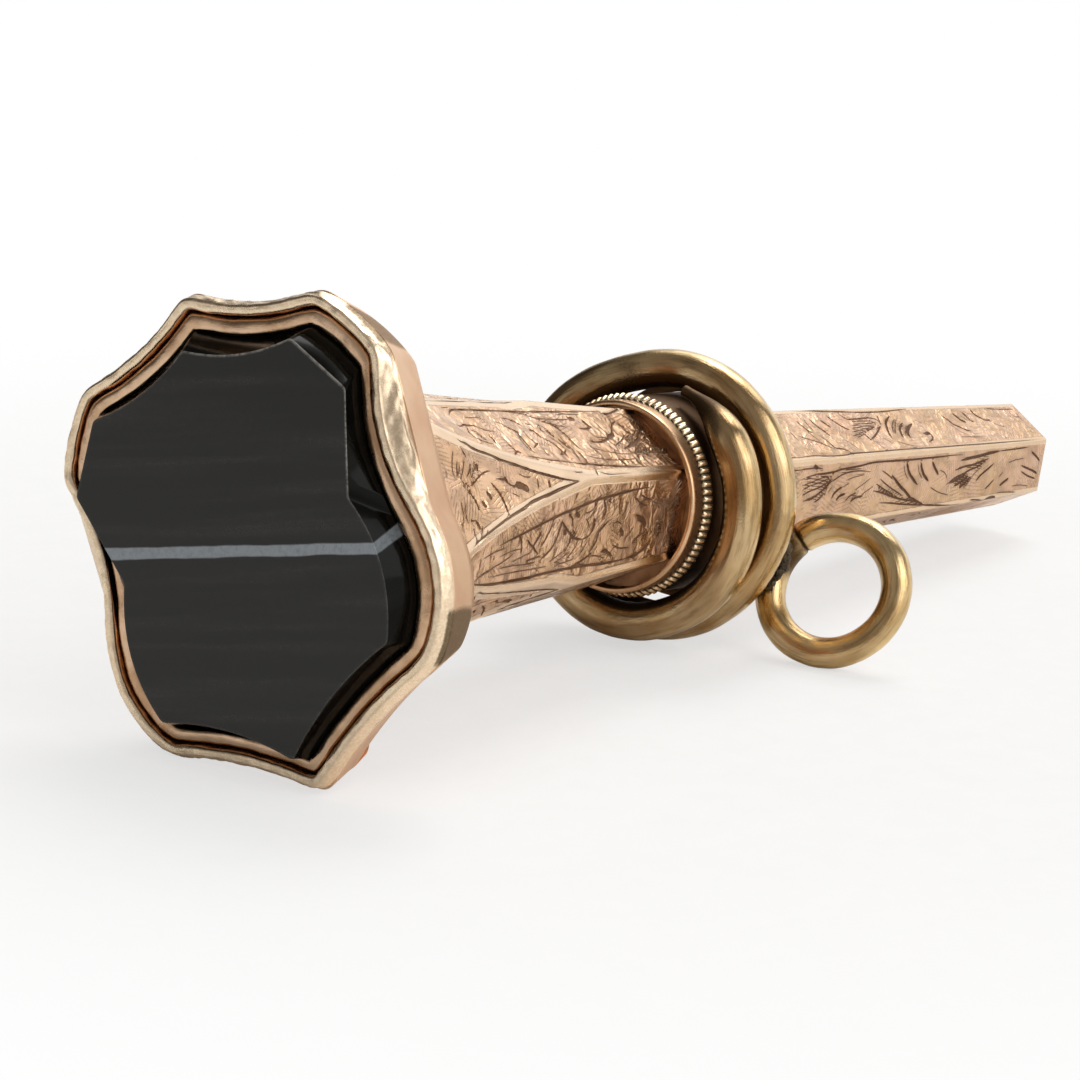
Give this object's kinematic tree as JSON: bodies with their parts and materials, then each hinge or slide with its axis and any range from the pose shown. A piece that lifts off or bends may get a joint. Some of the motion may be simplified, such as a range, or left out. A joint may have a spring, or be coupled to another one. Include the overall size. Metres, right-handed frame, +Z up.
{
  "type": "pocket watch key",
  "caption": "Gold key for winding a pocket watch, with a scalloped shield-shaped agate seal, a faceted engraved stem and a bow on a wire ring that swivels.",
  "frame": {"origin": "centre of the square winding socket's mouth, in the end face of the rear stem", "axes": "+X along the stem towards the mouth and level, +Z up, with the key lying on a table on the lower edge of its seal and on its wire ring; the stem axis dips 5.3 degrees towards the mouth"},
  "size_m": [0.042, 0.0142, 0.0129],
  "materials": {
    "gold": "satin gold with fine scratches",
    "rose_gold": "satin rose gold, hand engraved, dark in the cuts",
    "yellow_gold": "polished gold wire",
    "agate": "polished black banded agate",
    "shellac": "dark red-brown setting cement",
    "steel": "dull steel",
    "solder": "dark oxidised hard solder"
  },
  "bodies": {
    "key": {"seal_collet": "gold", "setting_strip": "gold", "stone_bearer": "gold", "seal_stone": "agate", "cement_bed": "shellac", "collet_back": "gold", "front_stem": "rose_gold", "front_end_plate": "rose_gold", "spindle": "gold", "collar_bush": "gold", "collar_sleeve": "gold", "milled_band": "gold", "back_flange": "gold", "rear_end_plate": "rose_gold", "rear_stem": "rose_gold", "winding_pipe": "steel", "tip_plate_ring": "rose_gold"},
    "swivel": {"wire_ring": "yellow_gold", "bow_loop": "yellow_gold", "bow_solder": "solder"}
  },
  "joints": [
    {"name": "swivel_spin", "type": "hinge", "parent": "key", "child": "swivel", "pos_m": [-0.02071, 0, 0.00182], "axis": [0.9957, 0, -0.0924], "continuous": true}
  ]
}
